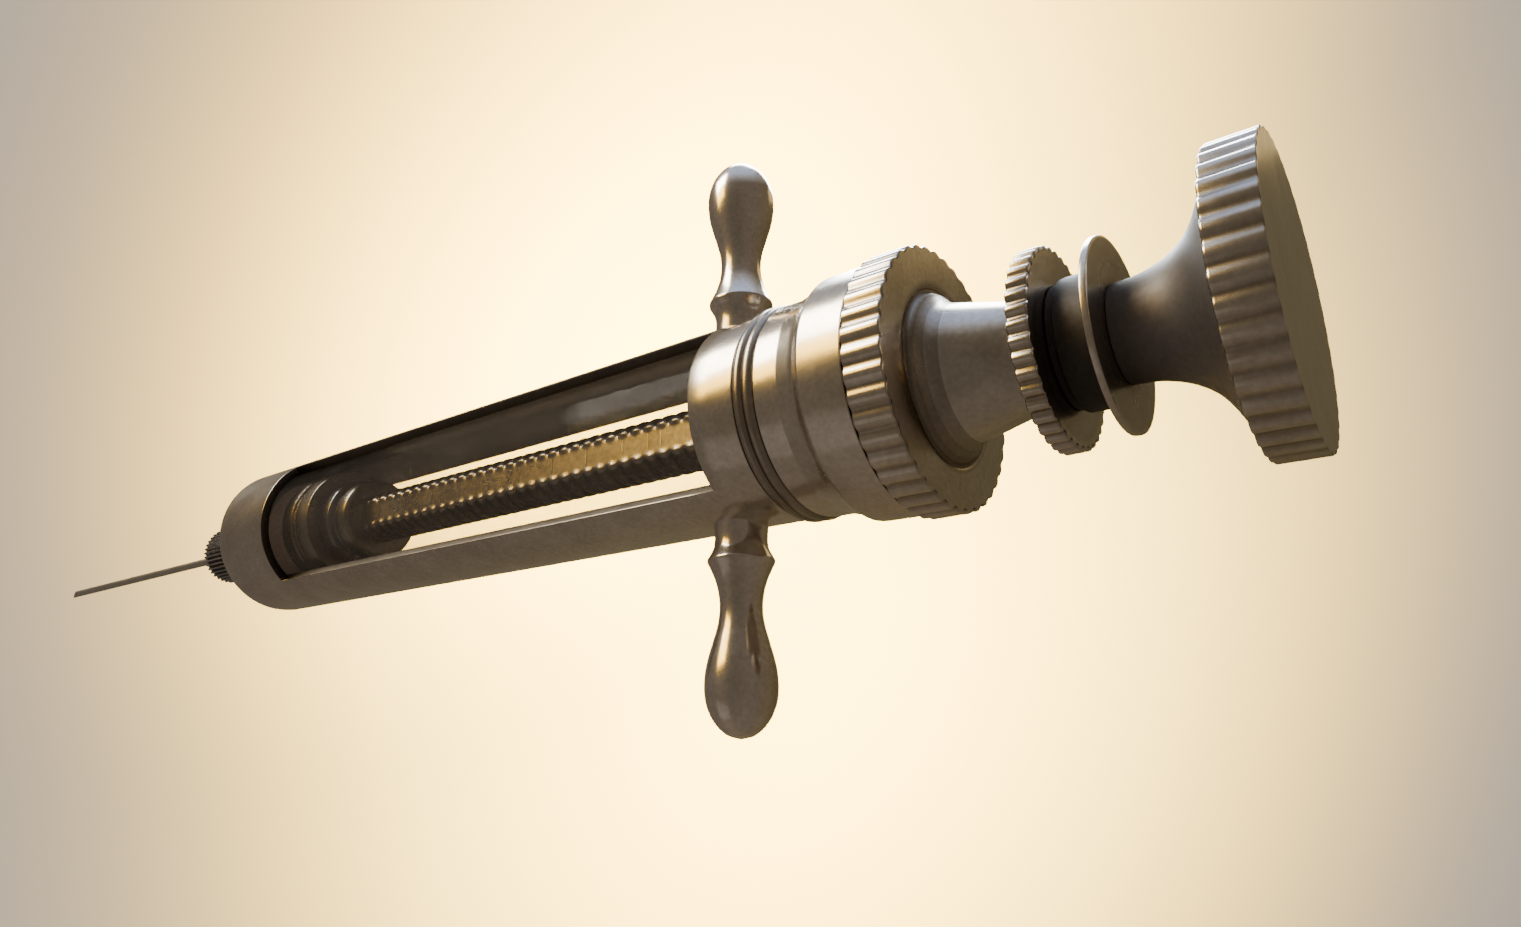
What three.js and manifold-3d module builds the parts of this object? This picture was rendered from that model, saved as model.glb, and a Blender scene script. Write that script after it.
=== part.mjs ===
// Metal-framed dental syringe: windowed barrel round a glass cylinder, two turned finger
// grips, screw cap, graduated double-flat piston rod, dose nut and fluted thumb knob.
// Millimetres. X runs along the syringe and +X points at the thumb; the finger grips lie
// along Y and the barrel windows face up and down. The origin is the centre of the thumb
// knob's flat end face.

import * as THREE from 'three';
import { mergeVertices } from 'three/addons/utils/BufferGeometryUtils.js';
import Module from 'manifold-3d';

const wasm = await Module();
wasm.setup();

// Facets round a turned part, and teeth round every knurled or fluted rim.
const ROUND = 40;
const TEETH = 40;
const NUT_TEETH = 28;

// Clearances: between pieces that slide or turn, and between pieces that rest together.
const RUNNING = 0.1;
const SEATED = 0.05;
const SADDLE = 0.3;

// Barrel frame.
const BARREL_R = 6.4;
const BARREL_BORE_R = 5.7;
const NOSE_X = -85.9;
const NOSE_EDGE = 0.8;
const NOSE_WALL = 2.1;
const NOSE_HOLE_R = 2.2;
const WINDOW_FRONT_X = -78.4;
const WINDOW_REAR_X = -30.97;
const WINDOW_HALF_ANGLE = 52;
const BEAD_SEAT_X = -27.7;
const SPIGOT_R = 6.1;
const SPIGOT_REAR_X = -24.3;

// Glass cylinder and its two sealing washers.
const GLASS_R = 5.6;
const GLASS_BORE_R = 4.8;
const GLASS_FRONT_X = -82.5;
const GLASS_REAR_X = -29.3;
const SEAL_THICK = 1.2;
const SEAL_BORE_R = 4.2;

// Finger grips.
const GRIP_X = -31.9;
const GRIP_TIP = 19.0;
const GRIP_STUD_R = 0.9;
const GRIP_STUD_HOLE_R = 1.2;
const GRIP_STUD_END = 5.85;

// Bead ring and rear sleeve.
const BEAD_FRONT_X = -27.65;
const BEAD_REAR_X = -26.24;
const BEAD_R = 6.62;
const SLEEVE_REAR_X = -20.17;
const SLEEVE_SMALL_R = 6.47;
const SLEEVE_LARGE_R = 7.29;
const SLEEVE_THREAD_R = 6.35;

// Screw cap.
const CAP_RIM_R = 7.57;
const CAP_RIM_FRONT_X = -19.87;
const CAP_RIM_REAR_X = -17.52;
const CAP_THREAD_R = 6.2;
const CAP_SKIRT_R = 5.6;
const CAP_SKIRT_X = -27.2;
const CAP_CHAMBER_R = 5.2;
const CAP_CHAMBER_X = -21.6;
const CAP_NECK_END_X = -12.0;
const CAP_NECK_BORE_R = 2.35;
const TOOTH_DEPTH = 0.28;

// Piston rod: threaded round bar with two flats.
const ROD_R = 2.07;
const ROD_HALF_THICK = 1.7;
const ROD_FRONT_X = -70.5;
const ROD_REAR_X = -8.45;
const ROD_STUD_R = 1.1;
const ROD_STUD_X = -81.35;
const ROD_JOURNAL_R = 1.5;
const ROD_JOURNAL_X = -3.2;

// Piston.
const PISTON_R = 4.7;
const PISTON_FRONT_X = -81.9;
const PISTON_PACKING_X = -80.6;
const PISTON_BODY_X = -78.1;
const PISTON_PLATE_X = -74.2;
const PISTON_LOCK_X = -72.1;
const PISTON_PLATE_R = 3.64;
const PISTON_LOCK_R = 3.4;

// Dose nut, thumb disc and thumb knob.
const DOSE_R = 5.43;
const DOSE_FRONT_X = -11.89;
const DOSE_REAR_X = -10.75;
const STOP_R = 3.5;
const STOP_REAR_X = -8.4;
const DISC_R = 5.1;
const DISC_FRONT_X = -8.33;
const DISC_REAR_X = -7.96;
const KNOB_R = 7.64;
const KNOB_RIM_FRONT_X = -2.32;
const KNOB_LIP = 0.22;
const FLUTE_DEPTH = 0.38;

// Needle end.
const NIPPLE_REAR_X = -84.2;
const NIPPLE_FRONT_X = -92.0;
const NIPPLE_THREAD_R = 1.9;
const NUT_R = 2.73;
const NUT_FRONT_X = -96.3;
const NUT_REAR_X = -89.6;
const NUT_TOOTH_DEPTH = 0.2;
const NEEDLE_R = 0.36;
const NEEDLE_BORE_R = 0.19;
const NEEDLE_TIP_X = -134.9;
const NEEDLE_REAR_X = -92.6;
const NEEDLE_BEVEL = 15;

// Welded copy with no zero-area faces and every face pointing outward.
function welded(geometry) {
  const bare = geometry.index ? geometry.toNonIndexed() : geometry.clone();
  bare.deleteAttribute('normal');
  bare.deleteAttribute('uv');
  const solid = mergeVertices(bare, 1e-4);
  const corners = Array.from(solid.index.array);
  const faces = [];
  for (let i = 0; i < corners.length; i += 3) {
    const [a, b, c] = corners.slice(i, i + 3);
    if (a !== b && b !== c && c !== a) {
      faces.push(a, b, c);
    }
  }
  solid.setIndex(faces);
  if (volume(solid) < 0) {
    for (let i = 0; i < faces.length; i += 3) {
      [faces[i], faces[i + 1]] = [faces[i + 1], faces[i]];
    }
    solid.setIndex(faces);
  }
  return solid;
}

function volume(solid) {
  const corners = solid.index.array;
  const at = solid.attributes.position;
  const [a, b, c] = [new THREE.Vector3(), new THREE.Vector3(), new THREE.Vector3()];
  let sum = 0;
  for (let i = 0; i < corners.length; i += 3) {
    a.fromBufferAttribute(at, corners[i]);
    b.fromBufferAttribute(at, corners[i + 1]);
    c.fromBufferAttribute(at, corners[i + 2]);
    sum += a.dot(b.cross(c));
  }
  return sum / 6;
}

// Solid turned about X from [x, radius] points. A profile that keeps off the axis is
// closed on itself.
function turned(profile, segments = ROUND) {
  return ridged(profile.map(([x, r]) => [x, r, 0]), segments / 2);
}

// As turned, with teeth: each [x, radius, depth] point dips by depth between the teeth.
function ridged(profile, teeth = TEETH) {
  const closed = profile[0][1] > 0 ? [...profile, profile[0]] : profile;
  const points = closed.map(([x, r]) => new THREE.Vector2(r, x));
  const segments = teeth * 2;
  const lathe = new THREE.LatheGeometry(points, segments);
  const at = lathe.attributes.position;
  for (let i = 0; i <= segments; i += 1) {
    const dip = (1 + Math.cos(Math.PI * i)) / 2;
    closed.forEach(([, r, depth], j) => {
      const k = i * closed.length + j;
      const scale = r > 0 ? (r - depth * dip) / r : 1;
      at.setX(k, at.getX(k) * scale);
      at.setZ(k, at.getZ(k) * scale);
    });
  }
  return welded(lathe.rotateZ(-Math.PI / 2));
}

// Prism along X from a shape drawn in the (-Z, Y) plane.
function prism(shape, x0, x1, curveSegments = 12) {
  const bar = new THREE.ExtrudeGeometry(shape, { depth: x1 - x0, bevelEnabled: false, curveSegments });
  return welded(bar.rotateY(Math.PI / 2).translate(x0, 0, 0));
}

// Outline of a round bar with two flats facing up and down.
function doubleFlat(r, half, path = new THREE.Shape()) {
  const a = Math.acos(half / r);
  path.moveTo(r * Math.cos(a), r * Math.sin(a));
  path.absarc(0, 0, r, a, Math.PI - a, false);
  path.lineTo(-half, -r * Math.sin(a));
  path.absarc(0, 0, r, Math.PI + a, -a, false);
  path.closePath();
  return path;
}

function toManifold(solid) {
  return new wasm.Manifold(new wasm.Mesh({
    numProp: 3,
    vertProperties: new Float32Array(solid.attributes.position.array),
    triVerts: new Uint32Array(solid.index.array),
  }));
}

function fromManifold(shape) {
  const mesh = shape.getMesh();
  const solid = new THREE.BufferGeometry();
  solid.setAttribute('position', new THREE.BufferAttribute(mesh.vertProperties, 3));
  solid.setIndex(Array.from(mesh.triVerts));
  return welded(solid);
}

function joined(...solids) {
  return fromManifold(solids.map(toManifold).reduce((a, b) => a.add(b)));
}

function cut(solid, ...tools) {
  return fromManifold(tools.map(toManifold).reduce((a, b) => a.subtract(b), toManifold(solid)));
}

function washer(x0, x1, bore, r) {
  return turned([[x0, bore], [x0, r], [x1, r], [x1, bore]]);
}

// ---------------------------------------------------------------- materials

const FINISHES = {
  frame: [0x8c7f6f, 0.36, 1],
  inner: [0x6d6459, 0.42, 1],
  bright: [0xb4aca0, 0.24, 1],
  rod: [0x7f7668, 0.38, 1],
  dark: [0x4a443d, 0.4, 1],
  brown: [0x5c4f42, 0.35, 1],
  needle: [0x8f8778, 0.28, 1],
  glass: [0xc9cdc6, 0.05, 0],
  rubber: [0x3a3129, 0.7, 0],
  leather: [0x4a3626, 0.75, 0],
};

const syringe = new THREE.Group();
syringe.name = 'dental_syringe';

function place(name, finish, solid) {
  const [color, roughness, metalness] = FINISHES[finish];
  const material = new THREE.MeshStandardMaterial({ color, roughness, metalness });
  material.name = name;
  if (finish === 'glass') {
    material.transparent = true;
    material.opacity = 0.3;
  }
  solid.computeVertexNormals();
  const mesh = new THREE.Mesh(solid, material);
  mesh.name = name;
  syringe.add(mesh);
}

// ------------------------------------------------------------------- barrel

// Wedge that opens one window; side is +1 above and -1 below.
function windowWedge(side) {
  const reach = 12;
  const spread = reach * Math.tan(THREE.MathUtils.degToRad(WINDOW_HALF_ANGLE));
  const wedge = new THREE.Shape();
  wedge.moveTo(0, 0);
  wedge.lineTo(-side * reach, spread);
  wedge.lineTo(-side * reach, -spread);
  wedge.closePath();
  return prism(wedge, WINDOW_FRONT_X, WINDOW_REAR_X);
}

// Round bar across the barrel along Y at the grips.
function crossBar(r, y0, y1, segments = 24) {
  const bar = new THREE.CylinderGeometry(r, r, y1 - y0, segments);
  return welded(bar.translate(GRIP_X, (y0 + y1) / 2, 0));
}

function barrelFrame() {
  const tube = turned([
    [NOSE_X, NOSE_HOLE_R],
    [NOSE_X, BARREL_R - NOSE_EDGE],
    [NOSE_X + NOSE_EDGE * 0.3, BARREL_R - NOSE_EDGE * 0.3],
    [NOSE_X + NOSE_EDGE, BARREL_R],
    [WINDOW_FRONT_X, BARREL_R],
    [WINDOW_REAR_X, BARREL_R],
    [BEAD_SEAT_X, BARREL_R],
    [BEAD_SEAT_X, SPIGOT_R],
    [SPIGOT_REAR_X, SPIGOT_R],
    [SPIGOT_REAR_X, BARREL_BORE_R],
    [NOSE_X + NOSE_WALL, BARREL_BORE_R],
    [NOSE_X + NOSE_WALL, NOSE_HOLE_R],
  ]);
  return cut(tube, windowWedge(1), windowWedge(-1), crossBar(GRIP_STUD_HOLE_R, -8, 8));
}

place('barrel_frame', 'frame', barrelFrame());
place('glass_cylinder', 'glass', washer(GLASS_FRONT_X, GLASS_REAR_X, GLASS_BORE_R, GLASS_R));
place('front_seal', 'rubber', washer(NOSE_X + NOSE_WALL + SEATED, GLASS_FRONT_X - SEATED, 1.6, GLASS_R));
place('rear_seal', 'rubber',
  washer(GLASS_REAR_X + SEATED, GLASS_REAR_X + SEATED + SEAL_THICK, SEAL_BORE_R, GLASS_R));

// Turned baluster with a rivet stud through the barrel wall; side is +1 or -1 along Y.
function fingerGrip(side) {
  const profile = [
    [GRIP_STUD_END, 0],
    [GRIP_STUD_END, GRIP_STUD_R],
    [5.9, GRIP_STUD_R],
    [5.9, 1.7],
    [7.2, 1.62],
    [7.8, 1.74],
    [8.4, 2.06],
    [8.62, 2.06],
    [9.5, 1.65],
    [10.5, 1.38],
    [11.5, 1.32],
    [12.5, 1.46],
    [13.8, 1.83],
    [15.0, 2.13],
    [16.1, 2.21],
    [17.1, 2.06],
    [18.1, 1.55],
    [18.7, 0.92],
    [GRIP_TIP, 0],
  ];
  const post = turned(profile, 16);
  post.rotateZ(side * Math.PI / 2);
  post.translate(GRIP_X, 0, 0);
  const saddle = turned([[GRIP_X - 4, 0], [GRIP_X - 4, BARREL_R + SADDLE / 3],
    [GRIP_X + 4, BARREL_R + SADDLE / 3], [GRIP_X + 4, 0]]);
  const stud = crossBar(GRIP_STUD_R, ...(side > 0 ? [GRIP_STUD_END, 8] : [-8, -GRIP_STUD_END]));
  return joined(cut(post, saddle), stud);
}

place('finger_grip_a', 'bright', fingerGrip(1));
place('finger_grip_b', 'bright', fingerGrip(-1));

// Ring with two half-round beads.
function beadRing() {
  const profile = [[BEAD_REAR_X, SPIGOT_R + SEATED], [BEAD_FRONT_X, SPIGOT_R + SEATED]];
  const half = (BEAD_REAR_X - BEAD_FRONT_X) / 4;
  const base = BEAD_R - half;
  for (const middle of [BEAD_FRONT_X + half, BEAD_REAR_X - half]) {
    for (const angle of [-80, -30, 30, 80]) {
      const a = THREE.MathUtils.degToRad(angle);
      profile.push([middle + half * Math.sin(a), base + half * Math.cos(a)]);
    }
  }
  profile.push([BEAD_REAR_X, base]);
  return turned(profile);
}

place('bead_ring', 'dark', beadRing());

place('rear_sleeve', 'frame', turned([
  [BEAD_REAR_X + SEATED, SPIGOT_R + SEATED],
  [BEAD_REAR_X + SEATED, SLEEVE_SMALL_R],
  [-24.1, 6.66],
  [-23.5, 6.8],
  [-23.0, 7.08],
  [-22.6, SLEEVE_LARGE_R - 0.03],
  [SLEEVE_REAR_X, SLEEVE_LARGE_R],
  [SLEEVE_REAR_X, SLEEVE_THREAD_R],
  [SPIGOT_REAR_X + 0.25, SLEEVE_THREAD_R],
  [SPIGOT_REAR_X + 0.25, SPIGOT_R + SEATED],
]));

// ---------------------------------------------------------------------- cap

place('screw_cap', 'frame', ridged([
  [CAP_SKIRT_X, CAP_CHAMBER_R, 0],
  [CAP_SKIRT_X, CAP_SKIRT_R, 0],
  [SPIGOT_REAR_X + 0.5, CAP_SKIRT_R, 0],
  [SPIGOT_REAR_X + 0.5, CAP_THREAD_R, 0],
  [CAP_RIM_FRONT_X, CAP_THREAD_R, 0],
  [CAP_RIM_FRONT_X, CAP_RIM_R - 0.15, TOOTH_DEPTH],
  [CAP_RIM_FRONT_X + 0.15, CAP_RIM_R, TOOTH_DEPTH],
  [CAP_RIM_REAR_X - 0.15, CAP_RIM_R, TOOTH_DEPTH],
  [CAP_RIM_REAR_X, CAP_RIM_R - 0.15, TOOTH_DEPTH],
  [CAP_RIM_REAR_X, 4.85, 0],
  [-17.3, 4.4, 0],
  [-16.6, 3.98, 0],
  [CAP_NECK_END_X - 0.1, 2.92, 0],
  [CAP_NECK_END_X, 2.82, 0],
  [CAP_NECK_END_X, CAP_NECK_BORE_R, 0],
  [CAP_CHAMBER_X, CAP_NECK_BORE_R, 0],
  [CAP_CHAMBER_X, CAP_CHAMBER_R, 0],
]));

// Keyed bush in the cap that stops the rod turning.
function rodGuide() {
  const bush = new THREE.Shape().absarc(0, 0, CAP_CHAMBER_R - RUNNING, 0, Math.PI * 2, false);
  bush.holes.push(doubleFlat(ROD_R + RUNNING, ROD_HALF_THICK + RUNNING, new THREE.Path()));
  return prism(bush, -26.2, CAP_CHAMBER_X - RUNNING, 20);
}

place('rod_guide', 'brown', rodGuide());
place('gland_washer', 'brown', washer(-27.9, -27.3, 2.7, 5.4));
place('gland_packing', 'leather', washer(-27.2, -26.3, 2.3, CAP_CHAMBER_R - RUNNING));

// ----------------------------------------------------------- rod and piston

function pistonRod() {
  const bar = prism(doubleFlat(ROD_R, ROD_HALF_THICK), ROD_FRONT_X, ROD_REAR_X);
  const stud = turned([[ROD_STUD_X, 0], [ROD_STUD_X, ROD_STUD_R], [ROD_FRONT_X + 1, ROD_STUD_R],
    [ROD_FRONT_X + 1, 0]], 32);
  const journal = turned([[ROD_REAR_X - 1, 0], [ROD_REAR_X - 1, ROD_JOURNAL_R],
    [ROD_JOURNAL_X, ROD_JOURNAL_R], [ROD_JOURNAL_X, 0]], 32);
  return joined(bar, stud, journal);
}

const STUD_BORE_R = ROD_STUD_R + RUNNING;

place('piston_rod', 'rod', pistonRod());

place('piston_front_plate', 'brown', turned([
  [PISTON_FRONT_X, 0],
  [PISTON_FRONT_X, 4.2],
  [PISTON_FRONT_X + 0.3, 4.5],
  [PISTON_PACKING_X - SEATED, 4.5],
  [PISTON_PACKING_X - SEATED, STUD_BORE_R],
  [ROD_STUD_X - RUNNING, STUD_BORE_R],
  [ROD_STUD_X - RUNNING, 0],
]));

place('piston_packing', 'leather', washer(PISTON_PACKING_X, PISTON_BODY_X - SEATED, STUD_BORE_R, PISTON_R));

place('piston_body', 'brown', turned([
  [PISTON_BODY_X, STUD_BORE_R],
  [PISTON_BODY_X, PISTON_R],
  [-76.6, PISTON_R],
  [-76.6, PISTON_R - 0.35],
  [-75.9, PISTON_R - 0.35],
  [-75.9, PISTON_R],
  [PISTON_PLATE_X - 0.1, PISTON_R],
  [PISTON_PLATE_X, PISTON_R - 0.1],
  [PISTON_PLATE_X, STUD_BORE_R],
]));

place('piston_plate', 'dark', turned([
  [PISTON_PLATE_X + SEATED, STUD_BORE_R],
  [PISTON_PLATE_X + SEATED, PISTON_PLATE_R],
  [-72.85, PISTON_PLATE_R],
  [-72.6, 3.45],
  [-72.5, 3.05],
  [PISTON_LOCK_X - SEATED, 3.05],
  [PISTON_LOCK_X - SEATED, STUD_BORE_R],
]));

place('piston_lock_nut', 'brown', turned([
  [PISTON_LOCK_X, STUD_BORE_R],
  [PISTON_LOCK_X, 3.1],
  [PISTON_LOCK_X + 0.3, PISTON_LOCK_R],
  [ROD_FRONT_X - 0.4, PISTON_LOCK_R],
  [ROD_FRONT_X - SEATED, 3.1],
  [ROD_FRONT_X - SEATED, STUD_BORE_R],
]));

// ----------------------------------------------------------- dose nut, thumb

place('dose_nut', 'frame', ridged([
  [DOSE_FRONT_X, CAP_NECK_BORE_R, 0],
  [DOSE_FRONT_X, DOSE_R - 0.12, TOOTH_DEPTH],
  [DOSE_FRONT_X + 0.12, DOSE_R, TOOTH_DEPTH],
  [DOSE_REAR_X - 0.12, DOSE_R, TOOTH_DEPTH],
  [DOSE_REAR_X, DOSE_R - 0.12, TOOTH_DEPTH],
  [DOSE_REAR_X, CAP_NECK_BORE_R, 0],
]));

place('stop_collar', 'dark', turned([
  [DOSE_REAR_X + SEATED, CAP_NECK_BORE_R],
  [DOSE_REAR_X + SEATED, STOP_R - 0.12],
  [DOSE_REAR_X + 0.4, STOP_R - 0.12],
  [DOSE_REAR_X + 0.5, STOP_R],
  [STOP_REAR_X, STOP_R],
  [STOP_REAR_X, CAP_NECK_BORE_R],
]));

place('thumb_disc', 'frame', turned([
  [DISC_FRONT_X, ROD_JOURNAL_R + RUNNING],
  [DISC_FRONT_X, DISC_R - 0.08],
  [DISC_FRONT_X + 0.08, DISC_R],
  [DISC_REAR_X - 0.08, DISC_R],
  [DISC_REAR_X, DISC_R - 0.08],
  [DISC_REAR_X, ROD_JOURNAL_R + RUNNING],
]));

place('thumb_knob', 'frame', ridged([
  [0, 0, 0],
  [0, KNOB_R - 0.08, 0],
  [-0.08, KNOB_R, 0],
  [-KNOB_LIP, KNOB_R, 0],
  [-KNOB_LIP - 0.15, KNOB_R, FLUTE_DEPTH],
  [KNOB_RIM_FRONT_X + 0.12, KNOB_R, FLUTE_DEPTH],
  [KNOB_RIM_FRONT_X, KNOB_R - 0.15, FLUTE_DEPTH],
  [KNOB_RIM_FRONT_X - 0.08, 7.05, 0.1],
  [-2.8, 6.05, 0],
  [-3.35, 4.95, 0],
  [-4.1, 3.93, 0],
  [-5.1, 3.18, 0],
  [-6.4, 2.73, 0],
  [DISC_REAR_X + SEATED, 2.58, 0],
  [DISC_REAR_X + SEATED, ROD_JOURNAL_R + RUNNING, 0],
  [ROD_JOURNAL_X + 0.2, ROD_JOURNAL_R + RUNNING, 0],
  [ROD_JOURNAL_X + 0.2, 0, 0],
]));

// --------------------------------------------------------------- needle end

place('nose_nipple', 'brown', turned([
  [NIPPLE_FRONT_X, 0.5],
  [NIPPLE_FRONT_X, NIPPLE_THREAD_R - 0.2],
  [NIPPLE_FRONT_X + 0.2, NIPPLE_THREAD_R],
  [NUT_REAR_X + 0.1, NIPPLE_THREAD_R],
  [NUT_REAR_X + 0.1, 2.5],
  [NOSE_X - 0.6, 3.4],
  [NOSE_X - SEATED, 3.4],
  [NOSE_X - SEATED, NOSE_HOLE_R - RUNNING],
  [NIPPLE_REAR_X, NOSE_HOLE_R - RUNNING],
  [NIPPLE_REAR_X, 0.5],
]));

place('needle_nut', 'dark', ridged([
  [NUT_FRONT_X, 0.75, 0],
  [NUT_FRONT_X, 2.3, 0],
  [NUT_FRONT_X + 0.35, NUT_R, NUT_TOOTH_DEPTH],
  [NUT_REAR_X - 0.3, NUT_R, NUT_TOOTH_DEPTH],
  [NUT_REAR_X, NUT_R - 0.3, 0],
  [NUT_REAR_X, NIPPLE_THREAD_R + RUNNING, 0],
  [-94.4, NIPPLE_THREAD_R + RUNNING, 0],
  [-94.4, 0.75, 0],
], NUT_TEETH));

place('needle_ferrule', 'brown', turned([
  [-94.3, NEEDLE_R + SEATED],
  [-94.3, 1.6],
  [-92.8, 1.6],
  [NIPPLE_FRONT_X - RUNNING, 1.2],
  [NIPPLE_FRONT_X - RUNNING, NEEDLE_R + SEATED],
], 32));

// Tube with a slanted tip.
function cannula() {
  const tube = turned([
    [NEEDLE_TIP_X, NEEDLE_BORE_R],
    [NEEDLE_TIP_X, NEEDLE_R],
    [NEEDLE_REAR_X, NEEDLE_R],
    [NEEDLE_REAR_X, NEEDLE_BORE_R],
  ], 24);
  const block = new THREE.BoxGeometry(8, 4, 4);
  block.translate(0, 0, 2);
  block.rotateY(THREE.MathUtils.degToRad(-NEEDLE_BEVEL));
  block.translate(NEEDLE_TIP_X, 0, -NEEDLE_R);
  return cut(tube, welded(block));
}

place('needle_cannula', 'needle', cannula());

export default syringe;
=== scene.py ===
"""Looks for the metal-framed dental syringe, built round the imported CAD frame.

Lengths in the tables are millimetres along the syringe's axis (x) and from it (r).
Angles about the axis run from +Y towards +Z.
"""
import math

import bmesh
import bpy
from mathutils import Euler, Matrix, Vector


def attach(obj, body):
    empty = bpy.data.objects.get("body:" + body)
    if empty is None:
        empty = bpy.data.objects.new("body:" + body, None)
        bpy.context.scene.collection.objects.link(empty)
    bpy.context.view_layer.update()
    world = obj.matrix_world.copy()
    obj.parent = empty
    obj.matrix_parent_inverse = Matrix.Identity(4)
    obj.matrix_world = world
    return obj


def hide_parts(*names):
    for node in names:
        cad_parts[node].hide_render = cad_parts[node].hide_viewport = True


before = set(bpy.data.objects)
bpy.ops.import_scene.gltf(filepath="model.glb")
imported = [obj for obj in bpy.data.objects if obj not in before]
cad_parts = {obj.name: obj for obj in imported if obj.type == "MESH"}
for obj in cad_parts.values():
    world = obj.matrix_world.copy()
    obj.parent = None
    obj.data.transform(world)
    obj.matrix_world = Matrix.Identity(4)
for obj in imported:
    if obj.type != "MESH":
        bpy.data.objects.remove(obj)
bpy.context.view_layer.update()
MM = 0.001
TEETH = 40              # round every fluted or knurled rim


# ------------------------------------------------------------------ materials

def new_material(name):
    mat = bpy.data.materials.new(name)
    mat.use_nodes = True
    nodes = mat.node_tree.nodes
    return mat, nodes, mat.node_tree.links, nodes["Principled BSDF"]


def scaled_coords(nodes, links, scale):
    coords = nodes.new("ShaderNodeTexCoord")
    mapping = nodes.new("ShaderNodeMapping")
    mapping.inputs["Scale"].default_value = scale
    links.new(coords.outputs["Object"], mapping.inputs["Vector"])
    return mapping.outputs["Vector"]


def noise(nodes, links, fineness, detail=4.0, roughness=0.6, distortion=0.0, stretch=(1, 1, 1)):
    """Noise of about fineness grains to a metre; stretch squeezes it along each axis."""
    tex = nodes.new("ShaderNodeTexNoise")
    tex.inputs["Scale"].default_value = fineness
    tex.inputs["Detail"].default_value = detail
    tex.inputs["Roughness"].default_value = roughness
    tex.inputs["Distortion"].default_value = distortion
    links.new(scaled_coords(nodes, links, stretch), tex.inputs["Vector"])
    return tex.outputs["Fac"]


def ramp(nodes, links, factor, stops):
    """Colour between (place, colour) stops."""
    node = nodes.new("ShaderNodeValToRGB")
    elements = node.color_ramp.elements
    while len(elements) < len(stops):
        elements.new(0.5)
    for element, (place, color) in zip(elements, stops):
        element.position = place
        element.color = (*color, 1)
    links.new(factor, node.inputs["Fac"])
    return node.outputs["Color"]


def to_range(nodes, links, value, low, high, start=0.0, end=1.0):
    """Maps start..end onto low..high and holds it there."""
    node = nodes.new("ShaderNodeMapRange")
    node.inputs["From Min"].default_value = start
    node.inputs["From Max"].default_value = end
    node.inputs["To Min"].default_value = low
    node.inputs["To Max"].default_value = high
    links.new(value, node.inputs["Value"])
    return node.outputs["Result"]


def mixed(nodes, links, factor, a, b, kind="MIX"):
    """Blends two colours; each of factor, a and b is a value or another node's output."""
    node = nodes.new("ShaderNodeMix")
    node.data_type = "RGBA"
    node.blend_type = kind
    for socket, value in ((node.inputs[0], factor), (node.inputs[6], a), (node.inputs[7], b)):
        if isinstance(value, (int, float)):
            socket.default_value = value
        elif isinstance(value, tuple):
            socket.default_value = (*value, 1)
        else:
            links.new(value, socket)
    return node.outputs[2]


CLOUD_FINENESS = 330
SPECK_FINENESS = 3200
RING_FINENESS = 420
SMUDGE_FINENESS = 260
RING_STRETCH = (22, 1, 1)
PIT_DEPTH = 0.00001
MARK_DEPTH = 0.000008
# Painted shade: colour multipliers for shade_and_grime values from 0 to 1.
PAINTED_SHADE_TONES = [(0.0, (1.0, 1.0, 1.0)), (0.5, (0.44, 0.41, 0.37)), (1.0, (0.1, 0.09, 0.08))]
GRIME_DULLS = 0.22      # roughness that full grime adds
GRIME_ROUGHENS = 0.15   # pit strength that full grime adds


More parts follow.
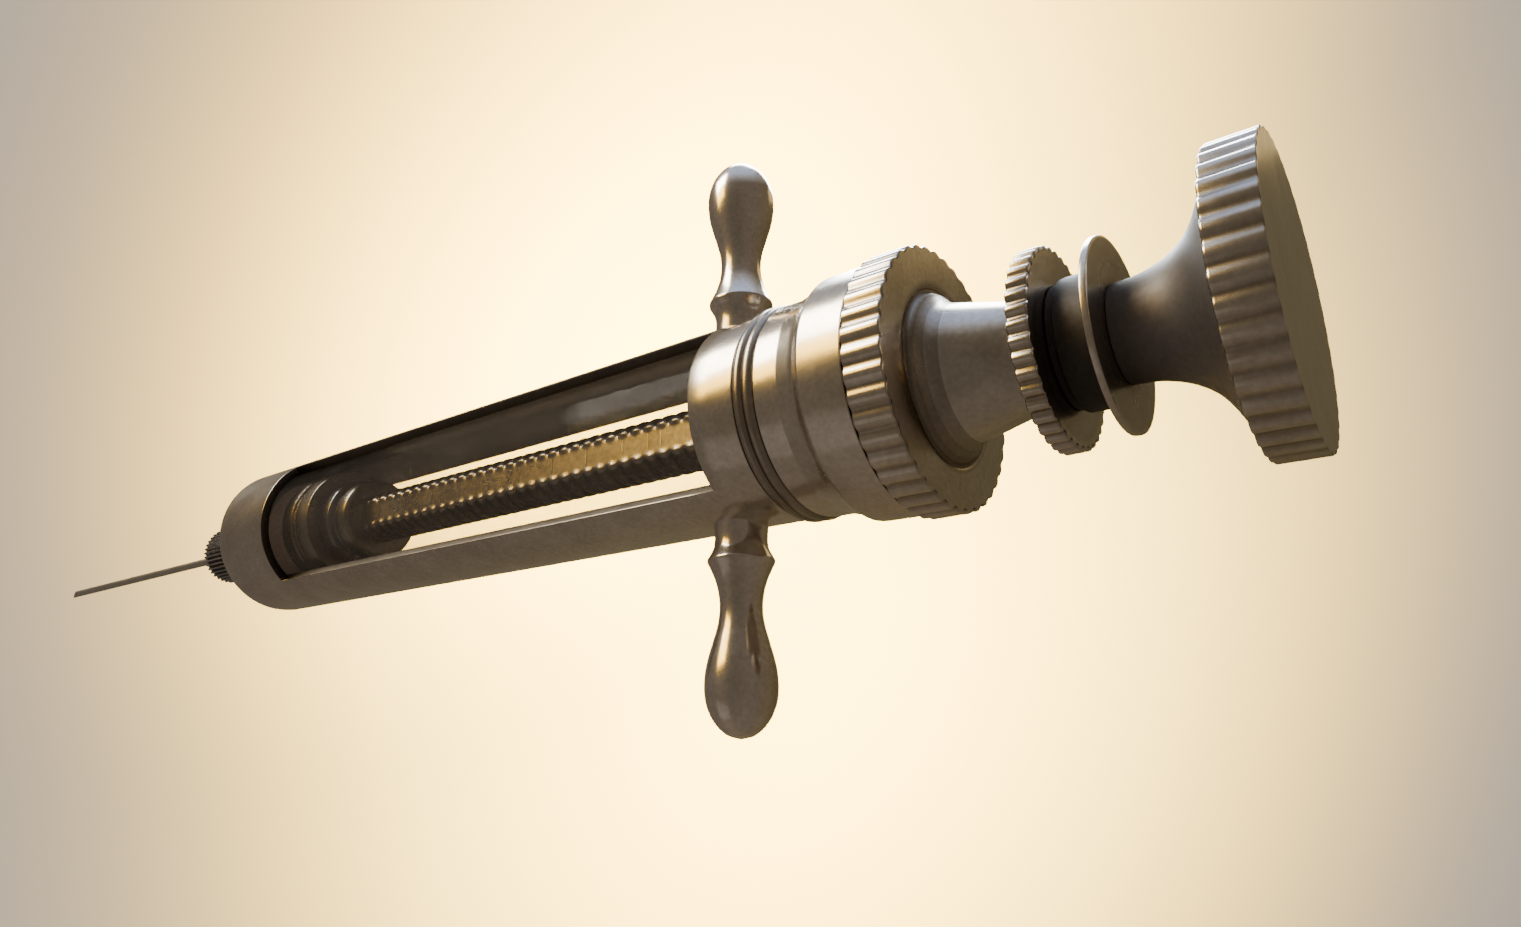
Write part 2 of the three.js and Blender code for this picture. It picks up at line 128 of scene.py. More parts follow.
def metal(name, base, stain, rough, grain=0.07, turned=0.06, clouds=0.4, dusty=0.12, metallic=1.0):
    """Aged metal: cloudy tarnish, smudged gloss, turning marks round the axis, fine pits.

    base and stain are its colours and clouds is how much stain shows; dusty is how far the
    fine specks darken it; grain and turned are the strengths of its pits and turning marks.
    Where a mesh has a "shade_and_grime" value (0 none to 1 full) its colour is darkened as painted shade,
    and the metal is duller and more pitted.
    """
    mat, nodes, links, shader = new_material(name)
    cloud = noise(nodes, links, CLOUD_FINENESS, detail=6, roughness=0.65, distortion=0.5)
    speck = noise(nodes, links, SPECK_FINENESS, detail=2)
    rings = noise(nodes, links, RING_FINENESS, stretch=RING_STRETCH)
    smudge = noise(nodes, links, SMUDGE_FINENESS, roughness=0.5, distortion=0.8)
    tint = ramp(nodes, links, cloud, [(0.32, stain), (0.66, base)])
    color = mixed(nodes, links, clouds, base, tint)
    dust = to_range(nodes, links, speck, 1 - dusty, 1.04, 0.3, 0.7)
    shade = mixed(nodes, links, 1.0, color, dust, "MULTIPLY")
    # Painted shade: the mesh's shade_and_grime value darkens the base colour.
    shade_node = nodes.new("ShaderNodeAttribute")
    shade_node.attribute_name = "shade_and_grime"
    painted_shade = ramp(nodes, links, shade_node.outputs["Fac"], PAINTED_SHADE_TONES)
    links.new(mixed(nodes, links, 1.0, shade, painted_shade, "MULTIPLY"), shader.inputs["Base Color"])
    shader.inputs["Metallic"].default_value = metallic
    gloss = to_range(nodes, links, smudge, rough * 0.88, rough * 1.14, 0.3, 0.7)
    dulled = to_range(nodes, links, shade_node.outputs["Fac"], 0.0, GRIME_DULLS)
    total = nodes.new("ShaderNodeMath")
    total.operation = "ADD"
    links.new(gloss, total.inputs[0])
    links.new(dulled, total.inputs[1])
    links.new(total.outputs[0], shader.inputs["Roughness"])
    pits = nodes.new("ShaderNodeBump")
    pitted = to_range(nodes, links, shade_node.outputs["Fac"], grain, grain + GRIME_ROUGHENS)
    links.new(pitted, pits.inputs["Strength"])
    pits.inputs["Distance"].default_value = PIT_DEPTH
    links.new(speck, pits.inputs["Height"])
    marks = nodes.new("ShaderNodeBump")
    marks.inputs["Strength"].default_value = turned
    marks.inputs["Distance"].default_value = MARK_DEPTH
    links.new(rings, marks.inputs["Height"])
    links.new(pits.outputs["Normal"], marks.inputs["Normal"])
    links.new(marks.outputs["Normal"], shader.inputs["Normal"])
    return mat


def clear_glass():
    """Thin clear wall: see-through face on, denser and greyer where it is seen on edge."""
    mat, nodes, links, shader = new_material("glass_clear")
    haze = noise(nodes, links, SMUDGE_FINENESS)
    tint = ramp(nodes, links, haze, [(0.3, (0.1, 0.083, 0.058)), (0.7, (0.14, 0.118, 0.085))])
    links.new(tint, shader.inputs["Base Color"])
    links.new(to_range(nodes, links, haze, 0.03, 0.09, 0.35, 0.7), shader.inputs["Roughness"])
    shader.inputs["Specular IOR Level"].default_value = 0.04
    edge = nodes.new("ShaderNodeLayerWeight")
    edge.inputs["Blend"].default_value = 0.35
    rim = to_range(nodes, links, edge.outputs["Facing"], 0.19, 0.4, 0.35, 1.0)
    smear = to_range(nodes, links, haze, 0.9, 1.15, 0.3, 0.7)
    cover = nodes.new("ShaderNodeMath")
    cover.operation = "MULTIPLY"
    links.new(rim, cover.inputs[0])
    links.new(smear, cover.inputs[1])
    links.new(cover.outputs[0], shader.inputs["Alpha"])
    return mat


PORE_FINENESS = 1500
PORE_DEPTH = 0.00004
PORE_SHADE = 0.6


def soft_ring(name, base, rough):
    """Rubber or leather: matt, with darker pores."""
    mat, nodes, links, shader = new_material(name)
    pores = noise(nodes, links, PORE_FINENESS, detail=5)
    dark = tuple(c * PORE_SHADE for c in base)
    links.new(ramp(nodes, links, pores, [(0.3, dark), (0.7, base)]), shader.inputs["Base Color"])
    shader.inputs["Roughness"].default_value = rough
    bump = nodes.new("ShaderNodeBump")
    bump.inputs["Strength"].default_value = 0.5
    bump.inputs["Distance"].default_value = PORE_DEPTH
    links.new(pores, bump.inputs["Height"])
    links.new(bump.outputs["Normal"], shader.inputs["Normal"])
    return mat


MATERIALS = {
    "frame": metal("aged_nickel", (0.71, 0.635, 0.545), (0.5, 0.43, 0.345), 0.2, clouds=0.6),
    "bright": metal("polished_nickel", (0.84, 0.75, 0.65), (0.6, 0.5, 0.4), 0.18, 0.03, 0.03, 0.5),
    # The shank's dark colour is painted shade.
    "shank": metal("shank_painted_shade", (0.2, 0.175, 0.15), (0.14, 0.12, 0.1), 0.5, metallic=0.65),
    "rod": metal("satin_rod", (0.62, 0.53, 0.41), (0.4, 0.33, 0.24), 0.28, 0.3, 0.06, 0.5, 0.35),
    "dark": metal("dark_steel", (0.4, 0.39, 0.385), (0.24, 0.22, 0.21), 0.24),
    # The collar's near-black colour is painted shade.
    "shade_black": metal("steel_painted_shade", (0.1, 0.092, 0.086), (0.06, 0.055, 0.05), 0.6),
    "brown": metal("brown_metal", (0.46, 0.39, 0.31), (0.26, 0.21, 0.155), 0.28),
    "needle": metal("needle_steel", (0.62, 0.57, 0.5), (0.4, 0.35, 0.3), 0.24),
    "glass": clear_glass(),
    "rubber": soft_ring("seal_rubber", (0.03, 0.026, 0.022), 0.6),
    "leather": soft_ring("greased_leather", (0.12, 0.075, 0.045), 0.65),
}


# -------------------------------------------------------------------- meshes

def finish_piece(obj, node, body, slot, smooth_angle=35, finish=None):
    """Gives a piece its material, shading and body, and lets it stand for its CAD node."""
    obj.data.materials.append(MATERIALS[finish or slot])
    obj.data.shade_smooth()
    obj.data.set_sharp_from_angle(angle=math.radians(smooth_angle))
    weights = obj.modifiers.new("even_normals", "WEIGHTED_NORMAL")
    weights.keep_sharp = True
    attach(obj, body)
    if node:
        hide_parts(node)
    return obj


def mesh_object(name, verts, faces, shade_and_grime=None):
    """Object in the scene from points and faces, doubled points joined, normals outward."""
    mesh = bpy.data.meshes.new(name)
    mesh.from_pydata(verts, [], faces)
    # shade_and_grime holds each point's painted shade, which also dulls the metal.
    if shade_and_grime:
        mesh.attributes.new("shade_and_grime", "FLOAT", "POINT").data.foreach_set("value", shade_and_grime)
    bm = bmesh.new()
    bm.from_mesh(mesh)
    bmesh.ops.remove_doubles(bm, verts=bm.verts, dist=1e-7)
    bmesh.ops.dissolve_degenerate(bm, edges=bm.edges, dist=1e-8)
    bmesh.ops.recalc_face_normals(bm, faces=bm.faces)
    bm.to_mesh(mesh)
    bm.free()
    obj = bpy.data.objects.new(name, mesh)
    bpy.context.scene.collection.objects.link(obj)
    return obj


FILLET_SHARE = 0.48     # most of an edge that one corner's easing may take


def rounded(profile, steps=5):
    """Turns (x, r, fillet, dip, shade_and_grime) corners into (x, r, dip, shade_and_grime) points, corners
    eased.
    """
    points = []
    count = len(profile)
    corners = [tuple(p) + (0,) * (5 - len(p)) for p in profile]
    on_axis = corners[0][1] == 0
    for i, (x, r, fillet, dip, shade_and_grime) in enumerate(corners):
        if fillet == 0 or (on_axis and i in (0, count - 1)):
            points.append((x, r, dip, shade_and_grime))
            continue
        here = Vector((x, r))
        before = corners[i - 1]
        after = corners[(i + 1) % count]
        to_before = Vector(before[:2]) - here
        to_after = Vector(after[:2]) - here
        a = min(fillet, to_before.length * FILLET_SHARE)
        b = min(fillet, to_after.length * FILLET_SHARE)
        start = here + to_before.normalized() * a
        end = here + to_after.normalized() * b
        for k in range(steps + 1):
            t = k / steps
            p = start * (1 - t) ** 2 + here * 2 * t * (1 - t) + end * t * t
            points.append((p.x, p.y, dip, shade_and_grime))
    return points


def spline(points, steps=6, shade_from=0.0, shade_full=None):
    """Catmull-Rom curve through (x, r) points; painted shade grows from x = shade_from to x = shade_full.
    """
    out = []
    for i in range(len(points) - 1):
        p0 = Vector(points[max(i - 1, 0)])
        p1 = Vector(points[i])
        p2 = Vector(points[i + 1])
        p3 = Vector(points[min(i + 2, len(points) - 1)])
        for k in range(steps):
            t = k / steps
            p = 0.5 * (2 * p1 + (p2 - p0) * t + (2 * p0 - 5 * p1 + 4 * p2 - p3) * t * t
                       + (3 * p1 - 3 * p2 + p3 - p0) * t ** 3)
            out.append((p.x, p.y))
    out.append(tuple(points[-1]))
    if shade_full is None:
        return [(x, r, 0, 0) for x, r in out]
    return [(x, r, 0, min(1, max(0, (x - shade_from) / (shade_full - shade_from)))) for x, r in out]


VALLEY_SHARPNESS = 1.4
# Painted shade in the teeth's valleys, deepest at their bottoms.
VALLEY_SHADE = 0.36


def revolved(name, points, segments=128, teeth=0):
    """Solid of revolution about X from (x, r, dip, shade_and_grime) points; dip is a valley's depth, and
    valleys get painted shade.
    """
    closed = points[0][1] > 0
    verts = []
    shade_values = []
    for i in range(segments):
        angle = 2 * math.pi * i / segments
        tooth = ((1 + math.cos(teeth * angle)) / 2) ** VALLEY_SHARPNESS
        for x, r, dip, shade_and_grime in points:
            valley = tooth if dip else 0
            radius = r - dip * valley
            verts.append((x * MM, radius * math.cos(angle) * MM, radius * math.sin(angle) * MM))
            shade_values.append(max(shade_and_grime, VALLEY_SHADE * valley ** 1.5))
    count = len(points)
    faces = []
    for i in range(segments):
        j = (i + 1) % segments
        for k in range(count if closed else count - 1):
            m = (k + 1) % count
            faces.append((i * count + k, i * count + m, j * count + m, j * count + k))
    return mesh_object(name, verts, faces, shade_values)


# -------------------------------------------------------------- turned pieces
# Each profile is a list of (x, r, fillet, dip, shade_and_grime) corners; the last is painted shade, 0 to
# 1, that also dulls the metal.

ROD_BORE = 2.3
# Painted shade where a face looks onto a neighbouring part.
SHADED_FACE = 0.18

# Painted shade: the front face in the joint with the sleeve, the groove round the boss and the shoulder up
# to the neck are darkened.
CAP = [
    (-27.2, 5.2, 0.1), (-27.2, 5.6, 0.1), (-23.8, 5.6), (-23.8, 6.2), (-19.87, 6.2, 0.08, 0, 0.7),
    (-19.87, 7.57, 0.16, 0.16), (-17.52, 7.57, 0.12, 0.16), (-17.52, 7.25, 0.1), (-17.52, 5.5, 0.1),
    (-17.53, 5.2, 0.1, 0, 0.2), (-17.6, 5.0, 0.08, 0, 0.65), (-17.54, 4.86, 0.1, 0, 0.7),
    (-17.3, 4.74, 0.25, 0, 0.5), (-17.05, 4.4, 0.4, 0, 0.42), (-16.6, 4.02, 0.5, 0, 0.3),
    (-15.7, 3.76, 0.5),
    (-12.0, 2.84, 0.12), (-12.0, ROD_BORE, 0.05), (-21.6, ROD_BORE), (-21.6, 5.2),
]

SLEEVE = [
    (-26.2, 6.12), (-26.2, 6.47, 0.08), (-24.6, 6.5, 0.1), (-23.4, 6.8, 0.3),
    (-22.75, 7.24, 0.12), (-20.0, 7.29, 0.08), (-20.0, 6.35), (-24.05, 6.35), (-24.05, 6.12),
]

# Painted shade: the beads are darkened throughout, most in the groove between them and at their feet.
BEADS = [
    (-27.66, 6.12), (-27.66, 6.38, 0.05, 0, 0.5), (-27.5, 6.58, 0.14, 0, 0.36),
    (-27.2, 6.64, 0.18, 0, 0.36), (-27.0, 6.52, 0.12, 0, 0.4), (-26.95, 6.42, 0, 0, 0.7),
    (-26.9, 6.52, 0.12, 0, 0.4), (-26.7, 6.64, 0.18, 0, 0.36), (-26.4, 6.58, 0.14, 0, 0.36),
    (-26.24, 6.38, 0.05, 0, 0.5), (-26.24, 6.12),
]

# Painted shade on the face towards the collar, growing towards the bore.
DOSE_NUT = [
    (-11.89, ROD_BORE), (-11.89, 5.43, 0.16, 0.2), (-10.75, 5.43, 0.13, 0.2), (-10.75, 5.1, 0.1),
    (-10.75, 4.8, 0, 0, SHADED_FACE), (-10.75, ROD_BORE, 0, 0, 0.3),
]

COLLAR = [
    (-10.7, ROD_BORE), (-10.7, 3.3, 0.06), (-10.35, 3.3, 0.04), (-10.25, 3.5, 0.06),
    (-8.37, 3.56, 0.06), (-8.37, ROD_BORE),
]

# Painted shade on the face towards the knob, darkest by the shank.
DISC = [
    (-8.34, 1.6), (-8.34, 5.1, 0.09), (-7.96, 5.1, 0.09), (-7.96, 4.9, 0, 0, SHADED_FACE),
    (-7.96, 3.2, 0, 0, 0.3), (-7.96, 1.6, 0, 0, 0.9),
]

# The flared shank is a curve of (x, r) points.
FLARE = [
    (-2.5, 6.75), (-2.72, 6.2), (-3.0, 5.6), (-3.4, 4.85), (-3.95, 4.08), (-4.7, 3.44), (-5.6, 2.98),
    (-6.7, 2.68), (-7.93, 2.58),
]
# Painted shade darkens the shank towards the disc, growing from FLARE_SHADE_FROM and full at
# FLARE_SHADE_FULL past its end; the end face by the disc is fully shaded.
FLARE_SHADE_FROM = -4.2
FLARE_SHADE_FULL = -10.5

KNOB_RIM = [
    (0, 0), (0, 6.9), (0, 7.35), (0, 7.61, 0.07, 0.12), (-2.42, 7.6, 0.14, 0.17),
    (-2.44, 7.2, 0.1), (-2.5, 6.9), (-2.5, 1.6), (-2.4, 0),
]

# Name, CAD node, body, slot, profile, segments round the axis, teeth.
TURNED = [
    ("cap_body", "screw_cap", "cap", "frame", rounded(CAP), 480, TEETH),
    ("sleeve_body", "rear_sleeve", "barrel", "frame", rounded(SLEEVE), 160, 0),
    ("bead_pair", "bead_ring", "barrel", "dark", rounded(BEADS), 160, 0),
    ("dose_nut_body", "dose_nut", "dose_nut", "frame", rounded(DOSE_NUT), 480, TEETH),
    ("collar_body", "stop_collar", "stop_collar", "dark", rounded(COLLAR), 128, 0),
    ("disc_body", "thumb_disc", "thumb_disc", "frame", rounded(DISC), 160, 0),
    ("knob_body", "thumb_knob", "thumb_knob", "frame", rounded(KNOB_RIM), 480, TEETH),
    ("knob_flare", "thumb_knob", "thumb_knob", "frame",
     [(-2.45, 1.6, 0, 0), (-2.45, 6.9, 0, 0)]
     + spline(FLARE, 6, FLARE_SHADE_FROM, FLARE_SHADE_FULL)
     + [(-7.93, 1.6, 0, 1)], 160, 0),
    ("piston_front", "piston_front_plate", "plunger", "brown",
     rounded([(-81.9, 0), (-81.9, 4.5, 0.3), (-80.65, 4.5, 0.1), (-80.65, 1.2), (-81.45, 1.2),
              (-81.45, 0)]), 96, 0),
    ("piston_leather", "piston_packing", "plunger", "leather",
     rounded([(-80.6, 1.2), (-80.6, 4.7, 0.3), (-78.15, 4.7, 0.3), (-78.15, 1.2)]), 96, 0),
    ("piston_barrel", "piston_body", "plunger", "brown",
     rounded([(-78.1, 1.2), (-78.1, 4.7, 0.15), (-76.6, 4.7, 0.1), (-76.5, 4.35, 0.1),
              (-76.0, 4.35, 0.1), (-75.9, 4.7, 0.1), (-74.2, 4.7, 0.14), (-74.2, 1.2)]), 128, 0),
    ("piston_step", "piston_plate", "plunger", "dark",
     rounded([(-74.15, 1.2), (-74.15, 3.64, 0.1), (-72.75, 3.64, 0.18), (-72.6, 3.1, 0.12),
              (-72.15, 3.05), (-72.15, 1.2)]), 128, 0),
    ("piston_lock", "piston_lock_nut", "plunger", "brown",
     rounded([(-72.1, 1.2), (-72.1, 3.4, 0.42), (-70.55, 3.4, 0.5), (-70.55, 1.2)]), 128, 0),
    ("nipple_body", "nose_nipple", "barrel", "brown",
     rounded([(-92.0, 0.5), (-92.0, 1.9, 0.2), (-89.5, 1.9), (-89.5, 2.5, 0.1), (-86.5, 3.4, 0.2),
              (-85.95, 3.4), (-85.95, 2.1), (-84.2, 2.1), (-84.2, 0.5)]), 96, 0),
    ("needle_nut_body", "needle_nut", "needle_nut", "dark",
     rounded([(-96.3, 0.7), (-96.3, 2.3, 0.1), (-95.95, 2.73, 0.12, 0.3), (-89.9, 2.73, 0.12, 0.3),
              (-89.6, 2.4, 0.1), (-89.6, 2.0), (-94.4, 2.0), (-94.4, 0.7)]), 480, TEETH),
    ("ferrule_body", "needle_ferrule", "needle", "brown",
     rounded([(-94.3, 0.4), (-94.3, 1.6, 0.1), (-92.8, 1.6, 0.1), (-92.1, 1.2), (-92.1, 0.4)]), 64, 0),
    ("gland_disc", "gland_washer", "cap_core", "brown",
     rounded([(-27.9, 2.7, 0.05), (-27.9, 5.4, 0.05), (-27.3, 5.4), (-27.3, 2.7)]), 96, 0),
    ("gland_ring", "gland_packing", "cap_core", "leather",
     rounded([(-27.2, 2.3), (-27.2, 5.1, 0.1), (-26.3, 5.1, 0.1), (-26.3, 2.3)]), 96, 0),
    ("front_washer", "front_seal", "barrel", "rubber",
     rounded([(-83.75, 1.6), (-83.75, 5.6, 0.15), (-82.55, 5.6, 0.15), (-82.55, 1.6)]), 96, 0),
    ("rear_washer", "rear_seal", "barrel", "rubber",
     rounded([(-29.25, 4.2), (-29.25, 5.6, 0.15), (-28.05, 5.6, 0.15), (-28.05, 4.2)]), 96, 0),
    ("glass_tube", "glass_cylinder", "barrel", "glass",
     rounded([(-82.5, 4.8, 0.15), (-82.5, 5.6, 0.15), (-29.3, 5.6, 0.15), (-29.3, 4.8, 0.15)]), 160, 0),
]

# Pieces whose looks differ from their slot's usual metal; the collar's near-black and the shank's dark
# colour are painted shade.
FINISHES = {"collar_body": "shade_black", "knob_flare": "shank", "bead_pair": "frame"}

for name, node, body, slot, points, segments, teeth in TURNED:
    finish_piece(revolved(name, points, segments, teeth), node, body, slot, finish=FINISHES.get(name))


# -------------------------------------------------------------- barrel frame

BARREL_R = 6.4
BARREL_BORE = 5.7
WINDOW = (-78.4, -30.97)
WINDOW_EDGES = (38, 142, 218, 322)      # degrees round the axis
CHAMFER = 0.06
EASE_LINES = (0.35, 1.0)    # shares of the chamfer at which the skin has a line
SKIN_STEPS = 24
NOSE_END = -85.9
NOSE_BORE = 2.2
NOSE_EASE = 0.75
SEAT_X = -83.8
SHOULDER_X = -27.72
TAIL_END = -24.3
TAIL_R = 6.1
# Painted shade on the windows' eased edges, outside and on the bore.
WINDOW_EDGE_SHADE = 0.85
WINDOW_INNER_SHADE = 1.0


def barrel_angles():
    """Degrees round the barrel, with extra lines at the windows' eased edges."""
    lines = {float(a) for a in range(0, 360, 2)}
    ease = math.degrees(CHAMFER / BARREL_R)
    for i, edge in enumerate(WINDOW_EDGES):
        outward = -1 if i % 2 == 0 else 1
        for share in EASE_LINES:
            lines.add(round((edge + outward * ease * share) % 360, 5))
    return sorted(lines)


def in_window(angle):
    first, last, far_first, far_last = WINDOW_EDGES
    return first <= angle <= last or far_first <= angle <= far_last


def eased_depth(x, angle):
    """How far the outer skin sinks at a window's eased edge."""
    along = max(WINDOW[0] - x, x - WINDOW[1], 0)
    gaps = []
    for first, last in (WINDOW_EDGES[:2], WINDOW_EDGES[2:]):
        gaps.append(max(first - angle, angle - last, 0))
    around = math.radians(min(gaps)) * BARREL_R
    away = max(along, around)
    if away >= CHAMFER:
        return 0
    t = 1 - away / CHAMFER
    return CHAMFER * (1 - math.sqrt(max(0.0, 1 - t * t)))


def barrel_frame():
    """Tube with two long windows, one closed ring of profile points for each angle."""
    angles = barrel_angles()
    front, rear = WINDOW
    near, far = EASE_LINES
    skin_x = [front - CHAMFER * far, front - CHAMFER * near]
    skin_x += [front + (rear - front) * k / SKIN_STEPS for k in range(SKIN_STEPS + 1)]
    skin_x += [rear + CHAMFER * near, rear + CHAMFER * far]
    nose = rounded([(NOSE_END, NOSE_BORE), (NOSE_END, BARREL_R, NOSE_EASE), (-79.0, BARREL_R)])
    nose = [p[:2] for p in nose[:-1]] + [(-83.0, BARREL_R), (-81.0, BARREL_R)]
    outer = [(x, BARREL_R) for x in skin_x]
    tail = rounded([(-31.0, BARREL_R), (SHOULDER_X, BARREL_R, 0.08), (SHOULDER_X, TAIL_R)])
    tail = [(-29.5, BARREL_R)] + [p[:2] for p in tail[1:]]
    tail += [(TAIL_END, TAIL_R), (TAIL_END, BARREL_BORE), (-29.5, BARREL_BORE)]
    inner = [(x, BARREL_BORE) for x in reversed(skin_x)]
    bottom = [(-81.0, BARREL_BORE), (SEAT_X, BARREL_BORE), (SEAT_X, NOSE_BORE)]
    ring = nose + outer + tail + inner + bottom
    outer_start = len(nose)
    inner_start = len(nose) + len(outer) + len(tail)
    count = len(ring)
    verts = []
    shade_values = []
    for angle in angles:
        a = math.radians(angle)
        for k, (x, r) in enumerate(ring):
            # Painted shade darkens the windows' eased edges, on the outer skin and on the bore.
            shade_and_grime = 0
            if outer_start <= k < outer_start + len(outer):
                sunk = eased_depth(x, angle)
                r -= sunk
                shade_and_grime = WINDOW_EDGE_SHADE * sunk / CHAMFER
            elif inner_start <= k < inner_start + len(inner):
                shade_and_grime = WINDOW_INNER_SHADE * eased_depth(x, angle) / CHAMFER
            shade_values.append(shade_and_grime)
            verts.append((x * MM, r * math.cos(a) * MM, r * math.sin(a) * MM))
    faces = []
    total = len(angles)
    last = len(skin_x) - 1

    def is_open(i, j):
        """True where the skin cell after angle i and skin line j lies in a window."""
        middle = (angles[i] + (angles[(i + 1) % total] if i + 1 < total else 360)) / 2
        return in_window(middle) and 2 <= j < last - 2

    def skin(i, j, inside):
        k = inner_start + last - j if inside else outer_start + j
        return (i % total) * count + k

    for i in range(total):
        for k in range(count):
            m = (k + 1) % count
            on_outer = outer_start <= k < outer_start + last
            on_inner = inner_start <= k < inner_start + last
            j = k - outer_start if on_outer else last - 1 - (k - inner_start)
            if (on_outer or on_inner) and is_open(i, j):
                continue
            n = (i + 1) % total
            faces.append((i * count + k, i * count + m, n * count + m, n * count + k))
        for j in range(last):
            if not is_open(i, j):
                continue
            if not is_open(i - 1, j):
                faces.append((skin(i, j, False), skin(i, j + 1, False), skin(i, j + 1, True),
                              skin(i, j, True)))
            if not is_open((i + 1) % total, j):
                faces.append((skin(i + 1, j, False), skin(i + 1, j + 1, False),
                              skin(i + 1, j + 1, True), skin(i + 1, j, True)))
            if not is_open(i, j - 1):
                faces.append((skin(i, j, False), skin(i + 1, j, False), skin(i + 1, j, True),
                              skin(i, j, True)))
            if not is_open(i, j + 1):
                faces.append((skin(i, j + 1, False), skin(i + 1, j + 1, False),
                              skin(i + 1, j + 1, True), skin(i, j + 1, True)))
    return mesh_object("barrel_shell", verts, faces, shade_values)


finish_piece(barrel_frame(), "barrel_frame", "barrel", "frame", 40)


# -------------------------------------------------------------- finger grips

GRIP_X = -31.9
# Profile of (distance from the barrel's axis, radius) points.
GRIP = rounded([
    (5.9, 0), (5.9, 1.72, 0.1), (6.6, 1.66, 0.3), (7.3, 1.62, 0.4), (7.85, 1.72, 0.35), (8.45, 2.08, 0.05),
    (8.6, 2.08, 0.05), (8.75, 2.0, 0.1),
], 4)[:-1] + spline([
    (8.75, 2.0), (9.5, 1.66), (10.4, 1.4), (11.4, 1.31), (12.4, 1.43), (13.5, 1.74), (14.7, 2.07),
    (15.8, 2.21), (16.8, 2.14), (17.7, 1.82), (18.4, 1.31), (18.85, 0.68), (19.0, 0.0),
], 5)

for side, letter in ((1, "a"), (-1, "b")):
    grip = revolved("grip_" + letter, GRIP, 96)
    for v in grip.data.vertices:
        x, y, z = v.co
        v.co = (GRIP_X * MM - side * y, side * x, z)
    finish_piece(grip, "finger_grip_" + letter, "barrel", "bright")


# -------------------------------------------------------------- threaded rod

ROD_R = 2.07
ROD_FLAT = 1.7
PITCH = 1.15
THREAD_DEPTH = 0.2
CREST_FULLNESS = 0.7    # lower is a fuller crest
ROD_SPAN = (-70.5, -8.45)
CREST_END = 59          # degrees from the nearer end of the Y axis at which a crest's milled end bulges
CREST_END_WIDTH = 5.5
CREST_END_PROUD = 0.11
EDGE_SOFTNESS = 45      # per millimetre: higher is a sharper edge between thread and flat
SHADE_STARTS = 1.66     # height over the rod's middle plane below which the thread gets painted shade
SHADE_FADE = 0.12
THREAD_SHADE = 0.62
ROOT_SHADE = 0.35


def rod_angles():
    """Degrees round the rod, close together where the flats meet the thread."""
    quarter = [0, 8, 16, 24, 32, 40] + [46 + 2 * k for k in range(14)] + [78, 84, 90]
    lines = set()
    for a in quarter:
        lines |= {a, 180 - a, 180 + a, (360 - a) % 360}
    return sorted(lines)


def thread_wave(x, turn):
    """0 in the thread's root to 1 on its crest, at x and at a share of a turn."""
    return abs(math.sin(math.pi * ((x / PITCH - turn) % 1.0))) ** CREST_FULLNESS


def rod_point(x, degrees):
    """Radius and painted shade of the rod's skin: thread and flat joined by a soft edge."""
    wave = thread_wave(x, degrees / 360)
    steep = abs(math.sin(math.radians(degrees)))
    thread = ROD_R - THREAD_DEPTH * (1 - wave)
    flat = ROD_FLAT / max(steep, 0.01)
    joined = math.exp(-EDGE_SOFTNESS * thread) + math.exp(-EDGE_SOFTNESS * flat)
    radius = -math.log(joined) / EDGE_SOFTNESS
    fold = math.degrees(math.asin(steep))
    bulge = math.exp(-((fold - CREST_END) / CREST_END_WIDTH) ** 2) * wave ** 4
    radius = min(radius + CREST_END_PROUD * bulge, ROD_R)
    # Painted shade: the thread on the sides away from the flats and its roots are darkened; the crest ends
    # stay clean.
    level = min(1, max(0, (SHADE_STARTS - radius * steep) / SHADE_FADE))
    return radius, level * (THREAD_SHADE + ROOT_SHADE * (1 - wave)) * (1 - bulge)


STEPS_A_PITCH = 10


def piston_rod():
    """Threaded bar with a flat on each side, closed by a face at each end."""
    start, end = ROD_SPAN
    steps = round((end - start) / (PITCH / STEPS_A_PITCH))
    angles = rod_angles()
    count = len(angles)
    verts = []
    shade_values = []
    for k in range(steps + 1):
        x = start + (end - start) * k / steps
        for degrees in angles:
            a = math.radians(degrees)
            r, shade_and_grime = rod_point(x, degrees)
            verts.append((x * MM, r * math.cos(a) * MM, r * math.sin(a) * MM))
            shade_values.append(shade_and_grime)
    faces = []
    for i in range(steps):
        for k in range(count):
            m = (k + 1) % count
            faces.append((i * count + k, i * count + m, (i + 1) * count + m, (i + 1) * count + k))
    faces.append(tuple(range(count)))
    faces.append(tuple(steps * count + k for k in range(count)))
    return mesh_object("rod_bar", verts, faces, shade_values)


finish_piece(piston_rod(), "piston_rod", "plunger", "rod", 60)
stud = revolved("rod_stud", rounded([(-81.35, 0), (-81.35, 1.1, 0.1), (-70.4, 1.1), (-70.4, 0)]), 48)
finish_piece(stud, "piston_rod", "plunger", "rod")
journal = revolved("rod_journal", rounded([(-8.5, 0), (-8.5, 1.5), (-3.2, 1.5, 0.1), (-3.2, 0)]), 48)
finish_piece(journal, "piston_rod", "plunger", "rod")


# ------------------------------------------------------------------ rod scale

FIRST_MARK = -37.2
MARK_COUNT = 10
MARK_STEP = 3.45
MARK_LENGTH = 1.05
MARK_WIDTH = 0.115
MARK_PROUD = 0.02
MARK_SUNK = 0.05
DIGIT_SIZE = 1.5
DIGIT_OFFSET = -1.15
MARKS_A_NUMBER = 4


